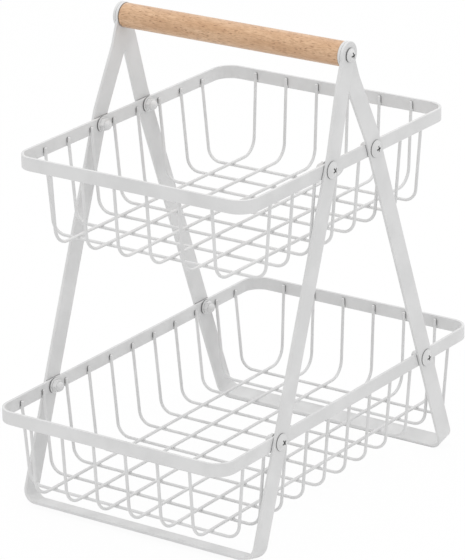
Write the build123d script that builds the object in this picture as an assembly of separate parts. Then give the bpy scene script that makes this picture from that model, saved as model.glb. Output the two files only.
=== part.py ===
from build123d import *
from math import cos, radians, sin, tan
import os

# Two-tier wire basket: two wire trays bolted between two U-shaped strap frames that cross
# at the top and carry a round wooden grip. Millimetres, X along the grip, Y from front to
# back, Z up. The origin is on the table, under the middle of the grip.

# Tray rims, flat steel band bent to a rounded rectangle
rim_length_x = 188.0
upper_length_y = 245.0
lower_length_y = 308.0
lower_rim_top = 82.0
band_height = 9.5
band_thickness = 2.0
rim_corner_radius = 14.0
band_edge_radius = 0.4

# Tray wires, each bent from one piece: wall, floor, wall
wire_diameter = 2.2
weld_gap = 0.05
wire_end_drop = 3.5
tray_depth = 63.0
side_wall_lean = 4.8
end_wall_lean = 3.5
side_bend_radius = 10.0
end_bend_radius = 13.0
bolt_bay = 25.6
upper_middle_wire_count = 2
lower_middle_wire_count = 7
upper_outer_wire_shares = (0.31, 0.62)
lower_outer_wire_shares = (0.47,)
end_wire_count = 6
side_margin = 29.0

# Frames, flat steel strap bent to a U, one leg outside and one inside at the grip
strap_width = 15.0
strap_thickness = 2.0
strap_edge_radius = 0.4
leg_angle = 20.4
tab_radius = 9.0
foot_bend_radius = 8.0
foot_bend_sections = 7
foot_tilt = 12.0
lean_bend_radius = 20.0
lean_margin = 1.5
grip_axis_height = 319.0
hand_gap = 66.5

# Wooden grip, free to turn on its two screws
leg_lean = 5.0
grip_diameter = 17.0
grip_edge_radius = 0.8
grip_end_play = 0.15
pilot_extra_depth = 2.0
insert_diameter = 8.0
insert_length = 13.0
insert_gap = 0.05

# Screws, bolts and dome nuts
thread_diameter = 5.0
thread_gap = 0.05
hole_gap = 0.075
screw_head_diameter = 9.5
screw_head_height = 3.4
screw_head_edge = 1.6
screw_bite = 11.0
bolt_head_diameter = 12.0
bolt_head_height = 2.9
bolt_head_edge = 0.7
recess_span = 4.6
recess_slot = 1.1
recess_depth = 1.8
recess_taper_angle = 8.0
nut_flange_diameter = 11.0
nut_flange_height = 1.4
nut_across_flats = 8.0
nut_hex_height = 3.0
nut_dome_height = 3.4
nut_bore_depth = 5.6
bolt_bite = 4.8

# One overrun for every cutter
overrun = 1.0

# Places worked out from the sizes above
leg_slope = radians(leg_angle)
side_face = rim_length_x / 2
upper_rim_top = grip_axis_height - hand_gap
grip_length = rim_length_x - 2 * leg_lean
inner_tab_face = grip_length / 2 + grip_end_play
outer_tab_face = inner_tab_face + strap_thickness
hole_diameter = thread_diameter + 2 * hole_gap
wire_radius = wire_diameter / 2


def along_leg(height):
    """Distance down the middle of a leg from the grip axis to this height."""
    return (grip_axis_height - height) / cos(leg_slope)


def leg_offset(height):
    """How far the middle of a leg stands from the grip's plane at this height."""
    return (grip_axis_height - height) * tan(leg_slope)


def bolt_places(rim_top):
    """The four bolts of a tray: side (+1 or -1 along X), y and z."""
    z = rim_top - band_height / 2
    y = leg_offset(z)
    return [(side, end * y, z) for side in (1, -1) for end in (1, -1)]


def facing(side):
    """Turns a piece built upwards so that it points out along X, to this side."""
    return Rot(0, 90 * side, 0)


def hole_across(y, z):
    """A cutter along X that passes both sides of the basket."""
    length = rim_length_x + 4 * strap_thickness + 2 * overrun
    return Pos(0, y, z) * facing(1) * Cylinder(hole_diameter / 2, length)


def make_rim(length_y, rim_top):
    """A closed band with rounded corners, softened edges and its four bolt holes."""
    outline = RectangleRounded(rim_length_x, length_y, rim_corner_radius)
    inside = RectangleRounded(
        rim_length_x - 2 * band_thickness,
        length_y - 2 * band_thickness,
        rim_corner_radius - band_thickness,
    )
    band = Pos(0, 0, rim_top - band_height) * extrude(outline - inside, band_height)
    lips = band.edges().group_by(Axis.Z)
    band = fillet(lips[0] + lips[-1], band_edge_radius)
    for _, y, z in bolt_places(rim_top):
        band -= hole_across(y, z)
    return band


def make_wire(length, lean, floor_rise, bend_radius):
    """One wire in the XZ plane, its ends at the rim and Z = 0 at the rim's top edge."""
    half = length / 2 - band_thickness - weld_gap - wire_radius
    floor_half = half - lean
    depth = tray_depth - floor_rise
    path = FilletPolyline(
        (-half, 0, -wire_end_drop),
        (-half, 0, -band_height),
        (-floor_half, 0, -depth),
        (floor_half, 0, -depth),
        (half, 0, -band_height),
        (half, 0, -wire_end_drop),
        radius=bend_radius,
    )
    section = Plane(path @ 0, z_dir=path % 0) * Circle(wire_radius)
    return sweep(section, path=path)


def end_wire_places():
    """Evenly spaced places along X, the outer two a set distance in from the rim's sides."""
    pitch = (rim_length_x - 2 * side_margin) / (end_wire_count - 1)
    return [side_margin - side_face + i * pitch for i in range(end_wire_count)]


def side_wire_places(length_y, rim_top, middle_count, outer_shares):
    """Places along Y: a bay about each bolt, even bays between, the others out to the ends."""
    bolt = leg_offset(rim_top - band_height / 2)
    inner = bolt - bolt_bay / 2
    outer = bolt + bolt_bay / 2
    pitch = 2 * inner / (middle_count - 1)
    middle = [i * pitch - inner for i in range(middle_count)]
    beyond = [outer] + [outer + share * (length_y / 2 - outer) for share in outer_shares]
    return [-y for y in reversed(beyond)] + middle + beyond


def make_tray(name, length_y, rim_top, middle_count, outer_shares):
    """A rim, the wires across it from side to side, and the wires from end to end."""
    pieces = {f"{name}_rim": make_rim(length_y, rim_top)}
    side_wire = make_wire(rim_length_x, side_wall_lean, 0, side_bend_radius)
    rise = wire_diameter + weld_gap
    end_wire = make_wire(length_y, end_wall_lean, rise, end_bend_radius)
    places = side_wire_places(length_y, rim_top, middle_count, outer_shares)
    for i, y in enumerate(places, start=1):
        pieces[f"{name}_side_wire_{i:02d}"] = Pos(0, y, rim_top) * side_wire
    for i, x in enumerate(end_wire_places(), start=1):
        pieces[f"{name}_end_wire_{i:02d}"] = Pos(x, 0, rim_top) * Rot(0, 0, 90) * end_wire
    return pieces


def strap_section(place):
    """The strap's cross-section with softened edges, its thickness along the plane's X."""
    return place * RectangleRounded(strap_thickness, strap_width, strap_edge_radius)


def make_leg(x, foot_end, lean_start, lean_end):
    """One leg hanging in the XZ plane, from a wider round tab at this X to the foot bend."""
    leg = side_face + strap_thickness / 2
    path = FilletPolyline(
        (x, 0, 0),
        (x, 0, -lean_start),
        (leg, 0, -lean_end),
        (leg, 0, -foot_end),
        radius=lean_bend_radius,
    )
    strap = sweep(strap_section(Plane(path @ 0, z_dir=path % 0)), path=path)
    tab = facing(1) * Cylinder(tab_radius, strap_thickness)
    tab = fillet(tab.edges().filter_by(GeomType.CIRCLE), strap_edge_radius)
    return strap + Pos(x, 0, 0) * tab


def make_foot_bend(foot, bend_radius, twist):
    """The bend from the leg to the foot bar, which also twists the strap by this angle."""
    sections = []
    for i in range(foot_bend_sections):
        share = i / (foot_bend_sections - 1)
        turn = radians(90 * share)
        start = Plane(
            origin=(bend_radius * cos(turn), 0, -bend_radius * sin(turn)),
            x_dir=(cos(turn), 0, -sin(turn)),
            z_dir=(-sin(turn), 0, -cos(turn)),
        )
        sections.append(strap_section(start * Rot(0, 0, -twist * share)))
    middle = side_face + strap_thickness / 2 - bend_radius
    return Pos(middle, 0, bend_radius - foot) * loft(sections)


def make_frame():
    """The front frame: a strap bent to a U, leaning forward, with round ends and holes."""
    half_width = strap_width / 2
    half_thickness = strap_thickness / 2
    bend_radius = foot_bend_radius + half_thickness
    tab_end = half_width / tan(leg_slope) + lean_margin
    lean_end = along_leg(upper_rim_top + half_width * sin(leg_slope)) - lean_margin
    # The foot bar lies flatter than the legs lean and stands on its rounded inner edge
    edge = strap_edge_radius
    tilt = radians(foot_tilt)
    foot = along_leg(
        edge + (half_width - edge) * sin(tilt) + (half_thickness - edge) * cos(tilt)
    )
    strap = make_leg(outer_tab_face + half_thickness, foot - bend_radius, tab_end, lean_end)
    strap += Rot(0, 0, 180) * make_leg(
        inner_tab_face + half_thickness, foot - bend_radius, tab_end, lean_end
    )
    twist = leg_angle - foot_tilt
    bend = make_foot_bend(foot, bend_radius, twist)
    bar_length = 2 * (side_face + half_thickness - bend_radius)
    bar = Pos(0, 0, -foot) * Rot(twist, 0, 0) * strap_section(Plane.YZ * Rot(0, 0, 90))
    strap += [bend, mirror(bend, Plane.YZ), extrude(bar, bar_length / 2, both=True)]
    for height in (grip_axis_height, upper_rim_top - band_height / 2, lower_rim_top - band_height / 2):
        strap -= hole_across(0, -along_leg(height))
    return Pos(0, 0, grip_axis_height) * Rot(-leg_angle, 0, 0) * strap


def cross_recess(top):
    """A tapered cross-shaped socket, sunk from this height."""
    slots = Rectangle(recess_span, recess_slot) + Rectangle(recess_slot, recess_span)
    return Pos(0, 0, top) * extrude(slots, -recess_depth, taper=recess_taper_angle)


def make_screw(head_diameter, head_height, head_edge, shank):
    """A round-headed screw: the head's underside at Z = 0, the shank below it."""
    radius = head_diameter / 2
    crown = head_height - head_edge
    sphere = (radius**2 + crown**2) / (2 * crown)
    outline = Polyline((0, head_height), (0, 0), (radius, 0), (radius, head_edge))
    outline += RadiusArc((radius, head_edge), (0, head_height), -sphere)
    head = revolve(make_face(Plane.XZ * outline), Axis.Z)
    head -= cross_recess(head_height)
    return head + Pos(0, 0, -shank / 2) * Cylinder(thread_diameter / 2, shank)


def make_dome_nut():
    """A flanged hexagon nut with a closed dome: its seat at Z = 0, the bore from below."""
    radius = nut_across_flats / 2
    hex_top = nut_flange_height + nut_hex_height
    nut = Pos(0, 0, nut_flange_height / 2) * Cylinder(nut_flange_diameter / 2, nut_flange_height)
    nut += extrude(RegularPolygon(radius, 6, major_radius=False), hex_top)
    sphere = (radius**2 + nut_dome_height**2) / (2 * nut_dome_height)
    outline = Polyline((0, hex_top + nut_dome_height), (0, 0), (radius, 0), (radius, hex_top))
    outline += RadiusArc((radius, hex_top), (0, hex_top + nut_dome_height), -sphere)
    nut += revolve(make_face(Plane.XZ * outline), Axis.Z)
    bore = Cylinder(thread_diameter / 2 + thread_gap, nut_bore_depth + overrun)
    return nut - Pos(0, 0, (nut_bore_depth - overrun) / 2) * bore


def make_tray_fasteners(name, rim_top):
    """The bolts through legs and rim, and the dome nuts on them inside the rim."""
    bolt = make_screw(
        bolt_head_diameter,
        bolt_head_height,
        bolt_head_edge,
        strap_thickness + band_thickness + bolt_bite,
    )
    nut = make_dome_nut()
    bolts = []
    nuts = []
    for side, y, z in bolt_places(rim_top):
        outside = side * (side_face + strap_thickness)
        inside = side * (side_face - band_thickness)
        bolts.append(Pos(outside, y, z) * facing(side) * bolt)
        nuts.append(Pos(inside, y, z) * facing(-side) * nut)
    return {f"{name}_tray_bolts": Compound(bolts), f"{name}_tray_nuts": Compound(nuts)}


def make_grip():
    """The wooden dowel with a pilot hole in each end, its inserts and its screws."""
    end = grip_length / 2
    wood = facing(1) * Cylinder(grip_diameter / 2, grip_length)
    wood = fillet(wood.edges().filter_by(GeomType.CIRCLE), grip_edge_radius)
    pilot_depth = insert_length + pilot_extra_depth
    pilot = Cylinder(insert_diameter / 2 + insert_gap, pilot_depth + overrun)
    insert = Cylinder(insert_diameter / 2, insert_length)
    insert -= Cylinder(thread_diameter / 2 + thread_gap, insert_length + overrun)
    tabs = grip_end_play + 2 * strap_thickness + grip_end_play
    screw = make_screw(
        screw_head_diameter,
        screw_head_height,
        screw_head_edge,
        tabs + screw_bite,
    )
    inserts = []
    screws = []
    for side in (1, -1):
        wood -= Pos(side * (end + (overrun - pilot_depth) / 2), 0, 0) * facing(side) * pilot
        inserts.append(Pos(side * (end - insert_length / 2), 0, 0) * facing(side) * insert)
        screws.append(Pos(side * (end + tabs), 0, 0) * facing(side) * screw)
    lift = Pos(0, 0, grip_axis_height)
    return {
        "grip": lift * wood,
        "grip_inserts": lift * Compound(inserts),
        "grip_screws": lift * Compound(screws),
    }


front_frame = make_frame()
nodes = {"front_frame": front_frame, "rear_frame": Rot(0, 0, 180) * front_frame}
nodes |= make_tray(
    "upper", upper_length_y, upper_rim_top, upper_middle_wire_count, upper_outer_wire_shares
)
nodes |= make_tray(
    "lower", lower_length_y, lower_rim_top, lower_middle_wire_count, lower_outer_wire_shares
)
nodes |= make_tray_fasteners("upper", upper_rim_top)
nodes |= make_tray_fasteners("lower", lower_rim_top)
nodes |= make_grip()

os.makedirs("parts", exist_ok=True)
for node, shape in nodes.items():
    export_step(shape, f"parts/{node}.step")
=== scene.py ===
import bpy
import bmesh
from math import cos, pi, radians, sin, sqrt, tan
from mathutils import Matrix, Vector


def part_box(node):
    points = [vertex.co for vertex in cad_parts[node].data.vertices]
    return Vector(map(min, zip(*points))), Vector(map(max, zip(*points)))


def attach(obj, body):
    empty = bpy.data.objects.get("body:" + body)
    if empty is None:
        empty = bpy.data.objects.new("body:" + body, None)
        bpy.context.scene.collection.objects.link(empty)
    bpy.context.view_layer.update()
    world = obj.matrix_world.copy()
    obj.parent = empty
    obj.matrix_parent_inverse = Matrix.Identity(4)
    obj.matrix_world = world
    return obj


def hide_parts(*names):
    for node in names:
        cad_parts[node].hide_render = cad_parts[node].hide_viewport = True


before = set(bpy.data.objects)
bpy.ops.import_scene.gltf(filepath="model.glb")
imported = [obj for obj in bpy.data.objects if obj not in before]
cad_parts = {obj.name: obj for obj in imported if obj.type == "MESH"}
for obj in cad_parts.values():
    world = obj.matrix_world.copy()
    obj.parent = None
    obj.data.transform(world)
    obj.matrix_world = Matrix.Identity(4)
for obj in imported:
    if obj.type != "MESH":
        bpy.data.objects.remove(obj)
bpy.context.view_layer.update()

# Lengths below are written in millimetres and scaled once
MM = 0.001

# Camera, as the photograph was taken
camera_azimuth = radians(35.2)
camera_elevation = radians(20.264)
camera_roll = radians(-1.116)
camera_distance = 2511.2 * MM
camera_target = Vector((-4.11, 0, 143.09)) * MM
focal_pixels = 3667
photo_width_pixels = 465
sensor_width = 36
view_depth = 20

# Tray wires: bent from one piece, cut ends softened by the coat
wire_diameter = 2.2 * MM
wire_sides = 20
wire_bend_steps = 10
wire_on_band = 6 * MM
end_wire_rise = 1.4 * MM
wall_lean = {"side": 4.8 * MM, "end": 3.5 * MM}
bend_radius = {"side": 10 * MM, "end": 13 * MM}
end_crown = 0.7 * MM
end_crown_steps = (0, 0.06, 0.18, 0.38, 0.65, 1)
end_flat_share = 0.5

# Welds, as small swellings under the coat
crossing_weld = Vector((1.55, 1.55, 0.8)) * MM
rim_weld = Vector((1.25, 1.25, 1.6)) * MM
rim_weld_drop = 4.7 * MM
weld_segments = 14
weld_rings = 8

# Screws, bolts and dome nuts
lathe_sides = 48
merge_distance = 0.002 * MM
thread_radius = 2.5 * MM
edge_round = 0.22 * MM
flange_wall_slope = 0.6
bolt_head = {
    "radius": 6 * MM,
    "height": 2.9 * MM,
    "flange": 0.9 * MM,
    "dome": 4.7 * MM,
    "shank": 8.8 * MM,
}
grip_screw_head = {
    "radius": 4.75 * MM,
    "height": 3.4 * MM,
    "flange": 1.1 * MM,
    "dome": 3.7 * MM,
    "shank": 15.3 * MM,
}
screw_dome_steps = 14
recess_span = 4.5 * MM
recess_slot = 1.15 * MM
recess_depth = 1.3 * MM
recess_taper = radians(8)
cutter_rise = 0.5 * MM
nut_flange_radius = 5.5 * MM
nut_flange_height = 1.4 * MM
nut_flange_wall_share = 0.6
nut_hex_sides = 6
nut_hex_radius = 4.62 * MM
nut_hex_top = 4.4 * MM
nut_hex_chamfer = 0.3 * MM
nut_dome_radius = 3.45 * MM
nut_dome_steps = 12
nut_height = 7.8 * MM

# How far round each one was left when it was tightened, in degrees, one tray corner at a time
tray_corners = [(1, -1), (1, 1), (-1, -1), (-1, 1)]
bolt_turns = {"upper": (38, 8, 20, 65), "lower": (30, 12, 50, 5)}
nut_turns = {"upper": (0, 10, 22, 14), "lower": (8, 0, 17, 26)}
grip_screw_turns = (12, 40)

# Beech grip, turned from one dowel
grip_sides = 96
grip_stations = 36
grip_edge_radius = 0.8 * MM
grip_edge_steps = 6
pilot_radius = 4.05 * MM
pilot_depth = 15 * MM

# Creases sharper than these many degrees stay sharp
piece_crease = 35
grip_crease = 40

# Powder coat: ripples of its orange peel, drift of its tone, and how far the painted shade of an
# inner corner reaches
strap_peel = 1.1 * MM
wire_peel = 0.8 * MM
fastener_peel = 0.6 * MM
peel_height = 0.03 * MM
coat_drift = 22 * MM
corner_shade_reach = 1.3 * MM
fastener_corner_shade_reach = 2 * MM

# Turned and rubbed metal
scuff_size = 0.4 * MM
lathe_ring_width = 0.25 * MM
lathe_ring_length = 20 * MM
lathe_ring_height = 0.02 * MM

# Beech. Its rays show as flecks of a few millimetres. Its fibres and pores are a tenth of a
# millimetre wide, too fine to show in the picture, so they are drawn several times coarser
beech_band_length = 45 * MM
beech_band_width = 5 * MM
fibre_length = 5 * MM
fibre_width = 0.6 * MM
ray_length = 4.4 * MM
ray_width = 1.2 * MM
pore_length = 2.6 * MM
pore_width = 0.8 * MM
crowd_length = 34 * MM
crowd_width = 6 * MM
fleck_waver = (0.9, 0.9, 0.9)
grain_height = 0.05 * MM

# Finish colours
coat_white = "#dedede"
coat_thin = "#d8d8d8"
# Dark grey of the painted shade along inner corners
painted_corner_shade = "#6a6a6a"
# Grey of the painted shade in screw recesses and round flange edges, and a lighter mottle of it
fastener_shade_grey = "#808080"
fastener_shade_grey_mottled = "#989898"
brass_yellow = "#c9a35a"
beech_light = "#e0ba94"
beech_middle = "#cfa57d"
beech_dark = "#b18560"
beech_fleck = "#8c5d3a"
floor_white = "#f4f4f4"

# Studio: floor, the room's light on the object, and the lamp, in metres and watts
floor_size = 12
floor_white_share = 0.95
room_light = 0.87
lamp_place = (0.1, 0.2, 2.4)
lamp_aim = (0, 0, 0.15)
lamp_size = 1.6
lamp_power = 15


def linear(colour):
    """An sRGB hex colour as linear red, green, blue and alpha."""
    channels = [int(colour[i:i + 2], 16) / 255 for i in (1, 3, 5)]
    return [c / 12.92 if c <= 0.04045 else ((c + 0.055) / 1.055) ** 2.4 for c in channels] + [1]


def add(tree, kind, links=None, **settings):
    """Adds a node: settings are its properties, links give its inputs a value or a socket."""
    node = tree.nodes.new(kind)
    for name, value in settings.items():
        setattr(node, name, value)
    for name, value in (links or {}).items():
        if isinstance(value, bpy.types.NodeSocket):
            tree.links.new(value, node.inputs[name])
        else:
            node.inputs[name].default_value = value
    return node


# Finishes

def new_material(name):
    """An empty material with its shader set between the nodes to come and its output."""
    material = bpy.data.materials.new(name)
    material.use_nodes = True
    tree = material.node_tree
    tree.nodes.clear()
    shader = add(tree, "ShaderNodeBsdfPrincipled")
    add(tree, "ShaderNodeOutputMaterial", {"Surface": shader.outputs[0]})
    return material, tree, shader


def stretched_place(tree, length, width):
    """Object coordinates counted in cells of this length along X and this width across it."""
    place = add(tree, "ShaderNodeTexCoord").outputs["Object"]
    cells = (1 / length, 1 / width, 1 / width)
    return add(tree, "ShaderNodeMapping", {"Vector": place, "Scale": cells}).outputs[0]


def arithmetic(tree, operation, first, second=0.0):
    """A sum or comparison of two values in a material's or a shape's tree."""
    return add(tree, "ShaderNodeMath", {0: first, 1: second}, operation=operation).outputs[0]


def ramp(tree, value, low, high, low_result=0.0, high_result=1.0):
    """A value eased from one range to another."""
    limits = {
        "Value": value,
        "From Min": low,
        "From Max": high,
        "To Min": low_result,
        "To Max": high_result,
    }
    return add(tree, "ShaderNodeMapRange", limits, interpolation_type="SMOOTHSTEP").outputs[0]


def blended(tree, share, first, second):
    """Two colours mixed by a share that varies over the surface."""
    node = add(tree, "ShaderNodeMix", data_type="RGBA")
    for place, value in ((0, share), (6, first), (7, second)):
        if isinstance(value, bpy.types.NodeSocket):
            tree.links.new(value, node.inputs[place])
        else:
            node.inputs[place].default_value = value
    return node.outputs[2]


def powder_coat(name, peel_size, roughness, reach=corner_shade_reach):
    """White polyester powder coat baked on steel: satin, with a fine orange peel in its gloss
    and a faint unevenness of tone where the powder lay thinner. Painted shade darkens it in
    occluded inner corners, so a dark line runs along every step, weld and fastener."""
    material, tree, shader = new_material(name)
    peel = add(tree, "ShaderNodeTexNoise", {
        "Vector": stretched_place(tree, peel_size, peel_size),
        "Scale": 1.0,
        "Detail": 2.0,
    }).outputs[0]
    drift = add(tree, "ShaderNodeTexNoise", {
        "Vector": stretched_place(tree, coat_drift, coat_drift),
        "Scale": 1.0,
        "Detail": 3.0,
    }).outputs[0]
    tone = blended(tree, ramp(tree, drift, 0.35, 0.65), linear(coat_thin), linear(coat_white))
    # Painted shade: inner corners found by occlusion are darkened towards a dark grey
    corner = add(tree, "ShaderNodeAmbientOcclusion", {"Distance": reach}, samples=8)
    corner_shade = ramp(tree, corner.outputs["AO"], 0.3, 0.8, 0.8, 0.0)
    tone = blended(tree, corner_shade, tone, linear(painted_corner_shade))
    gloss = ramp(tree, peel, 0.3, 0.7, roughness - 0.04, roughness + 0.05)
    bump = add(tree, "ShaderNodeBump", {"Height": peel, "Strength": 0.35, "Distance": peel_height})
    tree.links.new(tone, shader.inputs["Base Color"])
    tree.links.new(gloss, shader.inputs["Roughness"])
    tree.links.new(bump.outputs[0], shader.inputs["Normal"])
    shader.inputs["IOR"].default_value = 1.5
    return material


def fastener_shade_material():
    """Painted shade on the screws: a dull, slightly metallic grey with a faint mottle, in the
    driver recess and round the thin edge of a flange, where it draws the dark outline of each
    head."""
    material, tree, shader = new_material("painted_shade_screw_grey")
    scuff = add(tree, "ShaderNodeTexNoise", {
        "Vector": stretched_place(tree, scuff_size, scuff_size),
        "Scale": 1.0,
        "Detail": 2.0,
    }).outputs[0]
    scuffed = ramp(tree, scuff, 0.4, 0.8)
    tone = blended(tree, scuffed, linear(fastener_shade_grey), linear(fastener_shade_grey_mottled))
    tree.links.new(tone, shader.inputs["Base Color"])
    shader.inputs["Metallic"].default_value = 0.3
    shader.inputs["Roughness"].default_value = 0.6
    return material


def turned_brass():
    """Brass rod turned on a lathe: warm metal with fine rings round the axis of the insert."""
    material, tree, shader = new_material("turned_brass")
    rings = add(tree, "ShaderNodeTexNoise", {
        "Vector": stretched_place(tree, lathe_ring_width, lathe_ring_length),
        "Scale": 1.0,
    }).outputs[0]
    bump = add(tree, "ShaderNodeBump", {
        "Height": rings,
        "Strength": 0.3,
        "Distance": lathe_ring_height,
    })
    shader.inputs["Base Color"].default_value = linear(brass_yellow)
    shader.inputs["Metallic"].default_value = 1.0
    tree.links.new(ramp(tree, rings, 0.3, 0.7, 0.25, 0.4), shader.inputs["Roughness"])
    tree.links.new(bump.outputs[0], shader.inputs["Normal"])
    return material


def flecks(tree, length, width, size, share):
    """Marks along the grain, of uneven outline: one in some of the cells of this length and
    width, and more of them where the wood was cut across its rays. The size is a mark's
    part of its cell, and the share is the part of the cells that have one."""
    place = stretched_place(tree, length, width)
    waver = add(tree, "ShaderNodeTexNoise", {"Vector": place, "Scale": 1.4}).outputs["Color"]
    moved = {0: waver, 1: fleck_waver, 2: place}
    uneven = add(tree, "ShaderNodeVectorMath", moved, operation="MULTIPLY_ADD").outputs[0]
    cell = add(tree, "ShaderNodeTexVoronoi", {"Vector": uneven, "Scale": 1.0})
    mark = ramp(tree, cell.outputs["Distance"], size * 0.4, size, 1.0, 0.0)
    draw = add(tree, "ShaderNodeSeparateColor", {"Color": cell.outputs["Color"]}).outputs[0]
    crowd = add(tree, "ShaderNodeTexNoise", {
        "Vector": stretched_place(tree, crowd_length, crowd_width),
        "Scale": 1.0,
    }).outputs[0]
    spare = arithmetic(tree, "SUBTRACT", draw, crowd)
    chosen = ramp(tree, spare, share - 0.6, share - 0.5, 1.0, 0.0)
    return arithmetic(tree, "MULTIPLY", mark, chosen)


def steamed_beech():
    """Beech dowel, sanded and thinly oiled: warm tan under a soft sheen, with short fine grain
    and the small dark ray flecks and pores by which beech is known, all along the dowel."""
    material, tree, shader = new_material("steamed_beech")
    bands = add(tree, "ShaderNodeTexNoise", {
        "Vector": stretched_place(tree, beech_band_length, beech_band_width),
        "Scale": 1.0,
        "Detail": 3.0,
    }).outputs[0]
    fibres = add(tree, "ShaderNodeTexNoise", {
        "Vector": stretched_place(tree, fibre_length, fibre_width),
        "Scale": 1.0,
        "Detail": 4.0,
        "Roughness": 0.65,
    }).outputs[0]
    rays = flecks(tree, ray_length, ray_width, 0.42, 0.42)
    pores = flecks(tree, pore_length, pore_width, 0.4, 0.5)
    tone = blended(tree, ramp(tree, bands, 0.3, 0.7), linear(beech_middle), linear(beech_light))
    tone = blended(tree, ramp(tree, fibres, 0.36, 0.7, 0.0, 0.75), tone, linear(beech_dark))
    tone = blended(tree, ramp(tree, pores, 0.0, 1.0, 0.0, 0.35), tone, linear(beech_fleck))
    tone = blended(tree, ramp(tree, rays, 0.0, 1.0, 0.0, 0.65), tone, linear(beech_fleck))
    relief = arithmetic(tree, "SUBTRACT", fibres, rays)
    bump = add(tree, "ShaderNodeBump", {
        "Height": relief,
        "Strength": 0.4,
        "Distance": grain_height,
    })
    tree.links.new(tone, shader.inputs["Base Color"])
    tree.links.new(ramp(tree, fibres, 0.3, 0.8, 0.42, 0.55), shader.inputs["Roughness"])
    shader.inputs["Coat Weight"].default_value = 0.5
    shader.inputs["Coat Roughness"].default_value = 0.3
    tree.links.new(bump.outputs[0], shader.inputs["Normal"])
    return material


# Shapes that repeat or follow a path, as node trees

def shape_tree(name, sizes):
    """An empty shape tree with named inputs, and its two ends."""
    tree = bpy.data.node_groups.new(name, "GeometryNodeTree")
    tree.interface.new_socket(name="Geometry", in_out="INPUT", socket_type="NodeSocketGeometry")
    for size, kind in sizes.items():
        tree.interface.new_socket(name=size, in_out="INPUT", socket_type="NodeSocket" + kind)
    tree.interface.new_socket(name="Geometry", in_out="OUTPUT", socket_type="NodeSocketGeometry")
    given = tree.nodes.new("NodeGroupInput").outputs
    result = tree.nodes.new("NodeGroupOutput").inputs[0]
    return tree, given, result


def bent_wire_tree():
    """A row of equal wires: the route's corners are rounded, a round section follows it and
    narrows at its two ends as a coated cut end does, and the wire is repeated at the places."""
    tree, given, result = shape_tree("bent_wires", {
        "Wire radius": "Float",
        "Bend radius": "Float",
        "Bend steps": "Int",
        "Sides": "Int",
        "End crown": "Float",
        "End flat": "Float",
        "Places": "Object",
        "Finish": "Material",
    })
    route = add(tree, "GeometryNodeMeshToCurve", {"Mesh": given["Geometry"]}).outputs[0]
    bent = add(tree, "GeometryNodeFilletCurve", {
        "Curve": route,
        "Count": given["Bend steps"],
        "Radius": given["Bend radius"],
        "Limit Radius": True,
    }, mode="POLY").outputs[0]
    from_start = add(tree, "GeometryNodeSplineParameter").outputs["Length"]
    whole = add(tree, "GeometryNodeSplineLength").outputs["Length"]
    from_end = arithmetic(tree, "SUBTRACT", whole, from_start)
    nearest = arithmetic(tree, "MINIMUM", from_start, from_end)
    along_crown = arithmetic(tree, "DIVIDE", nearest, given["End crown"])
    crown = add(tree, "ShaderNodeClamp", {"Value": along_crown}).outputs[0]
    shortfall = arithmetic(tree, "SUBTRACT", 1.0, crown)
    squared = arithmetic(tree, "MULTIPLY", shortfall, shortfall)
    swelling = arithmetic(tree, "SQRT", arithmetic(tree, "SUBTRACT", 1.0, squared))
    beyond_flat = arithmetic(tree, "SUBTRACT", 1.0, given["End flat"])
    swell = arithmetic(tree, "MULTIPLY", swelling, beyond_flat)
    section = add(tree, "GeometryNodeCurvePrimitiveCircle", {
        "Resolution": given["Sides"],
        "Radius": given["Wire radius"],
    }).outputs[0]
    wire = add(tree, "GeometryNodeCurveToMesh", {
        "Curve": bent,
        "Profile Curve": section,
        "Scale": arithmetic(tree, "ADD", swell, given["End flat"]),
        "Fill Caps": True,
    }).outputs[0]
    places = add(tree, "GeometryNodeObjectInfo", {"Object": given["Places"]}).outputs["Geometry"]
    wires = add(tree, "GeometryNodeInstanceOnPoints", {
        "Points": places,
        "Instance": wire,
    }).outputs[0]
    solid = add(tree, "GeometryNodeRealizeInstances", {"Geometry": wires}).outputs[0]
    coated = add(tree, "GeometryNodeSetMaterial", {"Geometry": solid, "Material": given["Finish"]})
    tree.links.new(coated.outputs[0], result)
    return tree


def weld_tree():
    """Small swellings of metal and coat, one at each point."""
    tree, given, result = shape_tree("welds", {"Size": "Vector", "Finish": "Material"})
    bead = add(tree, "GeometryNodeMeshUVSphere", {
        "Segments": weld_segments,
        "Rings": weld_rings,
        "Radius": 1.0,
    }).outputs[0]
    welds = add(tree, "GeometryNodeInstanceOnPoints", {
        "Points": given["Geometry"],
        "Instance": bead,
        "Scale": given["Size"],
    }).outputs[0]
    solid = add(tree, "GeometryNodeRealizeInstances", {"Geometry": welds}).outputs[0]
    coated = add(tree, "GeometryNodeSetMaterial", {"Geometry": solid, "Material": given["Finish"]})
    tree.links.new(coated.outputs[0], result)
    return tree


def fastener_tree():
    """One fastener repeated at points, each laid over to its side of the basket and turned on
    its own axis by the point's own angle. The recess and the flange's edge keep the grey of
    painted shade."""
    tree, given, result = shape_tree("fasteners", {
        "Fastener": "Object",
        "Finish": "Material",
        "Shade": "Material",
    })
    shape = add(tree, "GeometryNodeObjectInfo", {"Object": given["Fastener"]}).outputs["Geometry"]
    lay = add(tree, "GeometryNodeInputNamedAttribute", {"Name": "lay"}, data_type="FLOAT_VECTOR")
    turn = add(tree, "FunctionNodeEulerToRotation", {"Euler": lay.outputs[0]}).outputs[0]
    placed = add(tree, "GeometryNodeInstanceOnPoints", {
        "Points": given["Geometry"],
        "Instance": shape,
        "Rotation": turn,
    }).outputs[0]
    solid = add(tree, "GeometryNodeRealizeInstances", {"Geometry": placed}).outputs[0]
    fastener_shade = add(tree, "GeometryNodeMaterialSelection", {"Material": given["Shade"]}).outputs[0]
    painted = add(tree, "FunctionNodeBooleanMath", {0: fastener_shade}, operation="NOT").outputs[0]
    coated = add(tree, "GeometryNodeSetMaterial", {
        "Geometry": solid,
        "Selection": painted,
        "Material": given["Finish"],
    })
    tree.links.new(coated.outputs[0], result)
    return tree


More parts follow.
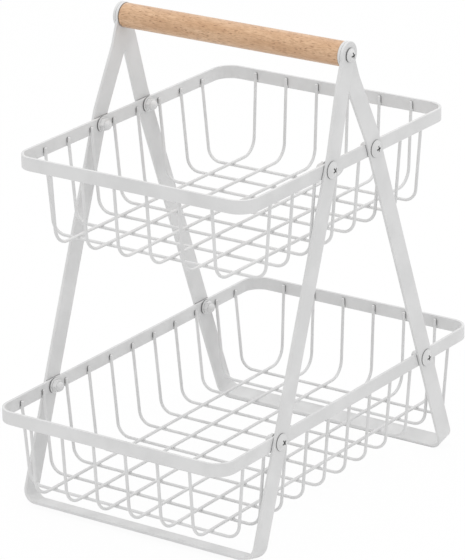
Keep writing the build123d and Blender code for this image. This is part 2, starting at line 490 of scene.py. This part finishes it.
def grow(name, mesh, tree, values):
    """A piece worked from a mesh by a shape tree, kept as a plain mesh."""
    piece = bpy.data.objects.new(name, mesh)
    bpy.context.scene.collection.objects.link(piece)
    modifier = piece.modifiers.new("shape", "NODES")
    modifier.node_group = tree
    for item in tree.interface.items_tree:
        if item.in_out == "INPUT" and item.name in values:
            modifier[item.identifier] = values[item.name]
    evaluated = piece.evaluated_get(bpy.context.evaluated_depsgraph_get())
    plain = bpy.data.meshes.new_from_object(evaluated)
    piece.modifiers.clear()
    piece.data = plain
    plain.name = name
    smooth_by_angle(plain, piece_crease)
    return piece


def smooth_by_angle(mesh, crease):
    """Shades the mesh smooth, apart from the edges sharper than this many degrees."""
    mesh.polygons.foreach_set("use_smooth", [True] * len(mesh.polygons))
    mesh.set_sharp_from_angle(angle=radians(crease))


def point_mesh(name, points, edges=()):
    """A mesh of bare points, and of edges where a route joins them."""
    mesh = bpy.data.meshes.new(name)
    mesh.from_pydata([tuple(p) for p in points], edges, [])
    return mesh


def middle(box, axis):
    """The middle of a CAD box along one axis."""
    low, high = box
    return (low[axis] + high[axis]) / 2


# Tray wires and their welds

def wire_route(low, high, along, lean, rise):
    """Corner points of one wire between the corners of its CAD box, with a few close points
    at each end for the crown. The wire runs along axis 0 or 1, and its ends reach higher up
    the band than the box by the rise."""
    radius = wire_diameter / 2
    half = (high[along] - low[along]) / 2 - radius
    floor = low[2] + radius
    top = high[2]
    rising = [(half, top + rise - end_crown * share) for share in end_crown_steps]
    rising += [(half, top - wire_on_band), (half - lean, floor)]
    places = [(-x, z) for x, z in rising] + [(x, z) for x, z in reversed(rising)]
    points = [(x, 0, z) if along == 0 else (0, x, z) for x, z in places]
    return point_mesh("wire_route", points, [(i, i + 1) for i in range(len(points) - 1)])


def wire_boxes(tray, direction):
    """The CAD boxes of a tray's wires of one direction, in order."""
    stem = f"{tray}_{direction}_wire_"
    return {name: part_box(name) for name in sorted(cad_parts) if name.startswith(stem)}


def wire_row(tray, direction, tree, finish):
    """All wires of a tray that run from side to side, or from end to end, as one piece."""
    boxes = wire_boxes(tray, direction)
    low, high = list(boxes.values())[0]
    along, rise = (0, 0) if direction == "side" else (1, end_wire_rise)
    across = [middle(box, 1 - along) for box in boxes.values()]
    spots = [(0, place, 0) if along == 0 else (place, 0, 0) for place in across]
    places = bpy.data.objects.new("wire_places", point_mesh("wire_places", spots))
    bpy.context.scene.collection.objects.link(places)
    route = wire_route(low, high, along, wall_lean[direction], rise)
    piece = grow(f"{tray}_{direction}_wires", route, tree, {
        "Wire radius": wire_diameter / 2,
        "Bend radius": bend_radius[direction],
        "Bend steps": wire_bend_steps,
        "Sides": wire_sides,
        "End crown": end_crown,
        "End flat": end_flat_share,
        "Places": places,
        "Finish": finish,
    })
    bpy.data.objects.remove(places)
    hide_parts(*boxes)
    settle(piece, "stand")


def tray_welds(tray, tree, finish):
    """The welds where wires cross on the floor, and where each wire meets the rim."""
    side_boxes = wire_boxes(tray, "side")
    end_boxes = wire_boxes(tray, "end")
    side_y = [middle(box, 1) for box in side_boxes.values()]
    end_x = [middle(box, 0) for box in end_boxes.values()]
    lower_axis = list(side_boxes.values())[0][0][2] + wire_diameter / 2
    upper_axis = list(end_boxes.values())[0][0][2] + wire_diameter / 2
    height = (lower_axis + upper_axis) / 2
    crossings = [(x, y, height) for x in end_x for y in side_y]
    piece = grow(f"{tray}_floor_welds", point_mesh("crossings", crossings), tree, {
        "Size": crossing_weld,
        "Finish": finish,
    })
    settle(piece, "stand")
    side_low, side_high = list(side_boxes.values())[0]
    end_low, end_high = list(end_boxes.values())[0]
    rim_z = side_high[2] - rim_weld_drop
    joints = [(x, y, rim_z) for x in (side_low[0], side_high[0]) for y in side_y]
    joints += [(x, y, rim_z) for y in (end_low[1], end_high[1]) for x in end_x]
    piece = grow(f"{tray}_rim_welds", point_mesh("rim_joints", joints), tree, {
        "Size": rim_weld,
        "Finish": finish,
    })
    settle(piece, "stand")


# Turned and cut pieces

def lathe(name, profile, sides):
    """A closed solid turned round Z from a profile of radius and height."""
    work = bmesh.new()
    points = [work.verts.new((radius, 0, height)) for radius, height in profile]
    lines = [work.edges.new(pair) for pair in zip(points, points[1:])]
    bmesh.ops.spin(work, geom=points + lines, cent=(0, 0, 0), axis=(0, 0, 1), angle=2 * pi,
                   steps=sides, use_merge=True)
    bmesh.ops.remove_doubles(work, verts=work.verts, dist=merge_distance)
    bmesh.ops.recalc_face_normals(work, faces=work.faces)
    mesh = bpy.data.meshes.new(name)
    work.to_mesh(mesh)
    work.free()
    return mesh


def crown_arc(radius, low, high, steps):
    """Profile points of a shallow dome from its edge to its middle."""
    rise = high - low
    sphere = (radius**2 + rise**2) / (2 * rise)
    reach = [radius * (1 - i / steps) for i in range(steps + 1)]
    return [(r, high - sphere + sqrt(sphere**2 - r**2)) for r in reach]


def quarter_round(centre_radius, centre_height, radius, start, end, steps=4):
    """Profile points round an edge, from one angle to another."""
    angles = [start + (end - start) * i / steps for i in range(steps + 1)]
    return [(centre_radius + radius * cos(a), centre_height + radius * sin(a)) for a in angles]


def joined(name, meshes):
    """Several closed meshes as one."""
    work = bmesh.new()
    for mesh in meshes:
        work.from_mesh(mesh)
    mesh = bpy.data.meshes.new(name)
    work.to_mesh(mesh)
    work.free()
    return mesh


def shade_flange_edge(mesh, radius, fastener_shade):
    """The wall round a flange takes the second material slot, the grey of painted shade."""
    mesh.materials.append(None)
    mesh.materials.append(fastener_shade)
    for face in mesh.polygons:
        outward = Vector((face.center.x, face.center.y, 0)).length > radius - edge_round
        if outward and face.center.z > 0 and abs(face.normal.z) < flange_wall_slope:
            face.material_index = 1


def cross_cutter(top):
    """A tapered cross that sinks the driver recess."""
    slope = tan(recess_taper)
    levels = [
        (top + cutter_rise, -cutter_rise * slope),
        (top - recess_depth, recess_depth * slope),
    ]
    work = bmesh.new()
    rings = []
    for height, inset in levels:
        tip = recess_span / 2 - inset
        root = recess_slot / 2 - inset
        quarter = [(tip, -root), (tip, root), (root, root)]
        corners = []
        for turn in range(4):
            for x, y in quarter:
                for _ in range(turn):
                    x, y = -y, x
                corners.append(work.verts.new((x, y, height)))
        rings.append(corners)
    upper, lower = rings
    work.faces.new(upper)
    work.faces.new(list(reversed(lower)))
    for i in range(len(upper)):
        after = (i + 1) % len(upper)
        work.faces.new((upper[after], upper[i], lower[i], lower[after]))
    bmesh.ops.recalc_face_normals(work, faces=work.faces)
    mesh = bpy.data.meshes.new("cross_cutter")
    work.to_mesh(mesh)
    work.free()
    return mesh


def screw_shape(name, radius, height, flange, dome, shank, fastener_shade):
    """A flanged, round-headed screw with a cross recess: its seat at Z = 0, its shank below."""
    tip = edge_round * 2
    rim = radius - edge_round
    profile = [(0, -shank), (thread_radius - tip, -shank)]
    profile += [(thread_radius, tip - shank), (thread_radius, 0)]
    profile += quarter_round(rim, edge_round, edge_round, -pi / 2, 0)
    profile += quarter_round(rim, flange - 2 * edge_round, edge_round, 0, pi / 2)
    profile += [(dome + edge_round, flange)]
    profile += crown_arc(dome, flange + edge_round, height, screw_dome_steps)
    screw = bpy.data.objects.new(name, lathe(name, profile, lathe_sides))
    shade_flange_edge(screw.data, radius, fastener_shade)
    cutter = bpy.data.objects.new(name + "_cutter", cross_cutter(height))
    for item in (screw, cutter):
        bpy.context.scene.collection.objects.link(item)
    # The recess walls take the grey of painted shade
    cutter.data.materials.append(None)
    cutter.data.materials.append(fastener_shade)
    cutter.data.polygons.foreach_set("material_index", [1] * len(cutter.data.polygons))
    cut = screw.modifiers.new("recess", "BOOLEAN")
    cut.operation = "DIFFERENCE"
    cut.solver = "EXACT"
    cut.object = cutter
    evaluated = screw.evaluated_get(bpy.context.evaluated_depsgraph_get())
    plain = bpy.data.meshes.new_from_object(evaluated)
    screw.modifiers.clear()
    screw.data = plain
    bpy.data.objects.remove(cutter)
    return screw


def dome_nut_shape(name, fastener_shade):
    """A flanged hexagon nut with a closed dome, its seat at Z = 0."""
    rim = nut_flange_radius - edge_round
    flange = [(0, 0)] + quarter_round(rim, edge_round, edge_round, -pi / 2, 0)
    flange += quarter_round(rim, nut_flange_height * nut_flange_wall_share, edge_round, 0, pi / 2)
    flange += [(nut_hex_radius, nut_flange_height), (0, nut_flange_height)]
    hexagon = [(0, nut_flange_height / 2), (nut_hex_radius, nut_flange_height / 2)]
    hexagon += [(nut_hex_radius, nut_hex_top - nut_hex_chamfer)]
    hexagon += [(nut_hex_radius - nut_hex_chamfer, nut_hex_top), (0, nut_hex_top)]
    dome = [(0, nut_hex_top / 2), (nut_dome_radius, nut_hex_top / 2)]
    dome += crown_arc(nut_dome_radius, nut_hex_top, nut_height, nut_dome_steps)
    parts = [
        lathe("nut_flange", flange, lathe_sides),
        lathe("nut_hexagon", hexagon, nut_hex_sides),
        lathe("nut_dome", dome, lathe_sides),
    ]
    nut = bpy.data.objects.new(name, joined(name, parts))
    shade_flange_edge(nut.data, nut_flange_radius, fastener_shade)
    bpy.context.scene.collection.objects.link(nut)
    return nut


def fastener_row(name, shape, places, tree, finish, fastener_shade, body):
    """Copies of a fastener: each place gives the side that it faces, its seat, and how far it
    is turned on its own axis, in degrees."""
    mesh = point_mesh(name, [seat for _, seat, _ in places])
    lay = mesh.attributes.new("lay", "FLOAT_VECTOR", "POINT")
    for point, (side, _, turn) in zip(lay.data, places):
        laid_over = Matrix.Rotation(side * pi / 2, 3, "Y")
        point.vector = (laid_over @ Matrix.Rotation(radians(turn), 3, "Z")).to_euler()
    piece = grow(name, mesh, tree, {"Fastener": shape, "Finish": finish, "Shade": fastener_shade})
    settle(piece, body)
    return piece


def bolt_spots(node, turns):
    """Seats of a tray's bolts outside the legs, read from their CAD box."""
    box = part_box(node)
    x = box[1][0] - bolt_head["height"]
    y = box[1][1] - bolt_head["radius"]
    z = middle(box, 2)
    corners = zip(tray_corners, turns)
    return [(side, (side * x, end * y, z), turn) for (side, end), turn in corners]


def nut_spots(node, turns):
    """Seats of a tray's nuts inside the rim, facing inwards, read from their CAD box."""
    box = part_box(node)
    x = box[1][0]
    y = box[1][1] - nut_flange_radius
    z = middle(box, 2)
    corners = zip(tray_corners, turns)
    return [(-side, (side * x, end * y, z), turn) for (side, end), turn in corners]


def grip_screw_spots(turns):
    """Seats of the two grip screws, one at each end, read from their CAD box."""
    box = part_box("grip_screws")
    x = box[1][0] - grip_screw_head["height"]
    z = middle(box, 2)
    return [(side, (side * x, 0, z), turn) for side, turn in zip((1, -1), turns)]


def beech_grip(finish):
    """The dowel with softened ends and a pilot hole in each, turned round X."""
    low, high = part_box("grip")
    half = (high[0] - low[0]) / 2
    radius = (high[2] - low[2]) / 2
    axis_height = middle((low, high), 2)
    edge = grip_edge_radius
    ending = [(0, half - pilot_depth), (pilot_radius, half - pilot_depth), (pilot_radius, half)]
    corner = quarter_round(radius - edge, half - edge, edge, 0, pi / 2, grip_edge_steps)
    ending += list(reversed(corner))
    body = [(radius, (half - edge) * (1 - 2 * i / grip_stations)) for i in range(1, grip_stations)]
    profile = ending + body + [(r, -x) for r, x in reversed(ending)]
    mesh = lathe("beech_grip", profile, grip_sides)
    mesh.transform(Matrix.Translation((0, 0, axis_height)) @ Matrix.Rotation(pi / 2, 4, "Y"))
    mesh.materials.append(finish)
    smooth_by_angle(mesh, grip_crease)
    piece = bpy.data.objects.new("beech_grip", mesh)
    bpy.context.scene.collection.objects.link(piece)
    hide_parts("grip")
    settle(piece, "handle")


def settle(piece, body):
    """The piece rides on its body."""
    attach(piece, body)


def finish_cad_node(name, finish):
    """A CAD piece that shows as it is, in its finish."""
    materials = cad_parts[name].data.materials
    materials.clear()
    materials.append(finish)


# Studio

def backdrop_rays(tree):
    """1 where the camera sees the backdrop, straight, mirrored or through glass, and 0 for
    the light that falls on the object."""
    rays = add(tree, "ShaderNodeLightPath").outputs
    seen = arithmetic(tree, "MAXIMUM", rays["Is Camera Ray"], rays["Is Glossy Ray"])
    return arithmetic(tree, "MAXIMUM", seen, rays["Is Transmission Ray"])


def stage_floor():
    """A pale floor. The camera sees it as white paper, with only the softest of its shadow."""
    bpy.ops.mesh.primitive_plane_add(size=floor_size, location=(0, 0, 0))
    floor = bpy.context.object
    floor.name = "floor"
    material, tree, shader = new_material("white_paper_floor")
    shader.inputs["Base Color"].default_value = linear(floor_white)
    shader.inputs["Roughness"].default_value = 0.9
    share = arithmetic(tree, "MULTIPLY", backdrop_rays(tree), floor_white_share)
    white = add(tree, "ShaderNodeEmission", {"Color": (1, 1, 1, 1), "Strength": 1.0})
    paper = add(tree, "ShaderNodeMixShader", {0: share, 1: shader.outputs[0], 2: white.outputs[0]})
    output = [node for node in tree.nodes if node.type == "OUTPUT_MATERIAL"][0]
    tree.links.new(paper.outputs[0], output.inputs["Surface"])
    floor.data.materials.append(material)


def make_camera():
    """The photograph's view: the camera stands off its target and is rolled a little."""
    away = Vector((
        sin(camera_azimuth) * cos(camera_elevation),
        -cos(camera_azimuth) * cos(camera_elevation),
        sin(camera_elevation),
    ))
    level_right = Vector((0, 0, 1)).cross(away).normalized()
    level_up = away.cross(level_right)
    right = cos(camera_roll) * level_right + sin(camera_roll) * level_up
    up = away.cross(right)
    data = bpy.data.cameras.new("camera")
    data.sensor_fit = "HORIZONTAL"
    data.sensor_width = sensor_width
    data.lens = focal_pixels * sensor_width / photo_width_pixels
    data.clip_end = view_depth
    camera = bpy.data.objects.new("camera", data)
    bpy.context.scene.collection.objects.link(camera)
    turn = Matrix((right, up, away)).transposed().to_4x4()
    camera.matrix_world = Matrix.Translation(camera_target + away * camera_distance) @ turn
    bpy.context.scene.camera = camera


def light_scene():
    """A broad soft lamp overhead, in a pale room that the camera sees white."""
    world = bpy.data.worlds.new("studio")
    bpy.context.scene.world = world
    world.use_nodes = True
    tree = world.node_tree
    background = tree.nodes["Background"]
    room = add(tree, "ShaderNodeMapRange", {
        "Value": backdrop_rays(tree),
        "To Min": room_light,
        "To Max": 1.0,
    })
    background.inputs["Color"].default_value = (1, 1, 1, 1)
    tree.links.new(room.outputs[0], background.inputs["Strength"])
    data = bpy.data.lights.new("top_light", "AREA")
    data.shape = "DISK"
    data.size = lamp_size
    data.energy = lamp_power
    lamp = bpy.data.objects.new("top_light", data)
    lamp.location = lamp_place
    facing_away = Vector(lamp_place) - Vector(lamp_aim)
    lamp.rotation_euler = facing_away.to_track_quat("Z", "Y").to_euler()
    bpy.context.scene.collection.objects.link(lamp)


bpy.context.scene.view_settings.view_transform = "Standard"

strap_coat = powder_coat("powder_coated_strap", strap_peel, 0.42)
wire_coat = powder_coat("powder_coated_wire", wire_peel, 0.42)
fastener_paint = powder_coat("painted_fasteners", fastener_peel, 0.34, fastener_corner_shade_reach)
fastener_shade = fastener_shade_material()
brass = turned_brass()
beech = steamed_beech()

for node in ("front_frame", "rear_frame", "upper_rim", "lower_rim"):
    finish_cad_node(node, strap_coat)
finish_cad_node("grip_inserts", brass)

wires = bent_wire_tree()
welds = weld_tree()
fasteners = fastener_tree()
bolt = screw_shape("bolt_shape", fastener_shade=fastener_shade, **bolt_head)
grip_screw = screw_shape("grip_screw_shape", fastener_shade=fastener_shade, **grip_screw_head)
dome_nut = dome_nut_shape("dome_nut_shape", fastener_shade)
for tray in ("upper", "lower"):
    wire_row(tray, "side", wires, wire_coat)
    wire_row(tray, "end", wires, wire_coat)
    tray_welds(tray, welds, wire_coat)
    spots = bolt_spots(f"{tray}_tray_bolts", bolt_turns[tray])
    bolts = fastener_row(f"{tray}_bolts", bolt, spots, fasteners, fastener_paint, fastener_shade, "stand")
    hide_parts(f"{tray}_tray_bolts")
    spots = nut_spots(f"{tray}_tray_nuts", nut_turns[tray])
    nuts = fastener_row(
        f"{tray}_dome_nuts", dome_nut, spots, fasteners, fastener_paint, fastener_shade, "stand"
    )
    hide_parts(f"{tray}_tray_nuts")
spots = grip_screw_spots(grip_screw_turns)
screws = fastener_row(
    "grip_end_screws", grip_screw, spots, fasteners, fastener_paint, fastener_shade, "handle"
)
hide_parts("grip_screws")
for shape in (bolt, grip_screw, dome_nut):
    bpy.data.objects.remove(shape)
beech_grip(beech)

make_camera()
stage_floor()
light_scene()
